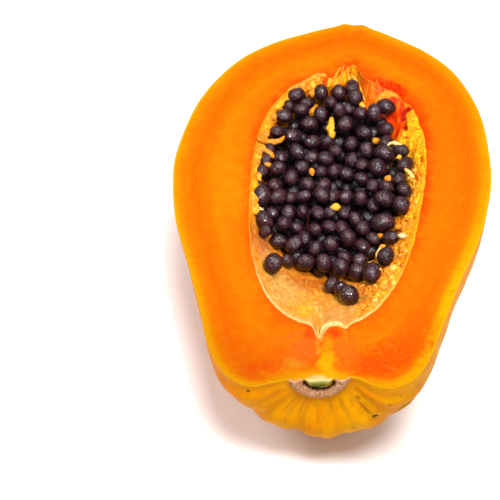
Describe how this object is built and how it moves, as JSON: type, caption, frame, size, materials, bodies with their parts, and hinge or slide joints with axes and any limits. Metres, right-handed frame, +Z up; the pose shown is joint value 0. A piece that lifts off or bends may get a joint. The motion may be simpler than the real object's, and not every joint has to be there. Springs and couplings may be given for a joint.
{
  "type": "papaya half",
  "caption": "Half of a ripe papaya, cut lengthwise from stem scar to blossom tip, lying on its skin with a heap of black seeds in its hollow.",
  "frame": {"origin": "middle of the box round the half, on the surface that it lies on", "axes": "+Z up, -Y towards the stem end, +Y towards the blossom end; the cut face looks up and leans 6 degrees towards the stem end"},
  "size_m": [0.112, 0.1716, 0.0641],
  "materials": {
    "flesh": "moist orange flesh under a satin yellow-orange skin",
    "seeds": "wet, wrinkled, near black"
  },
  "bodies": {
    "root": {"papaya_half": "flesh", "seed_heap": "seeds"}
  },
  "joints": []
}
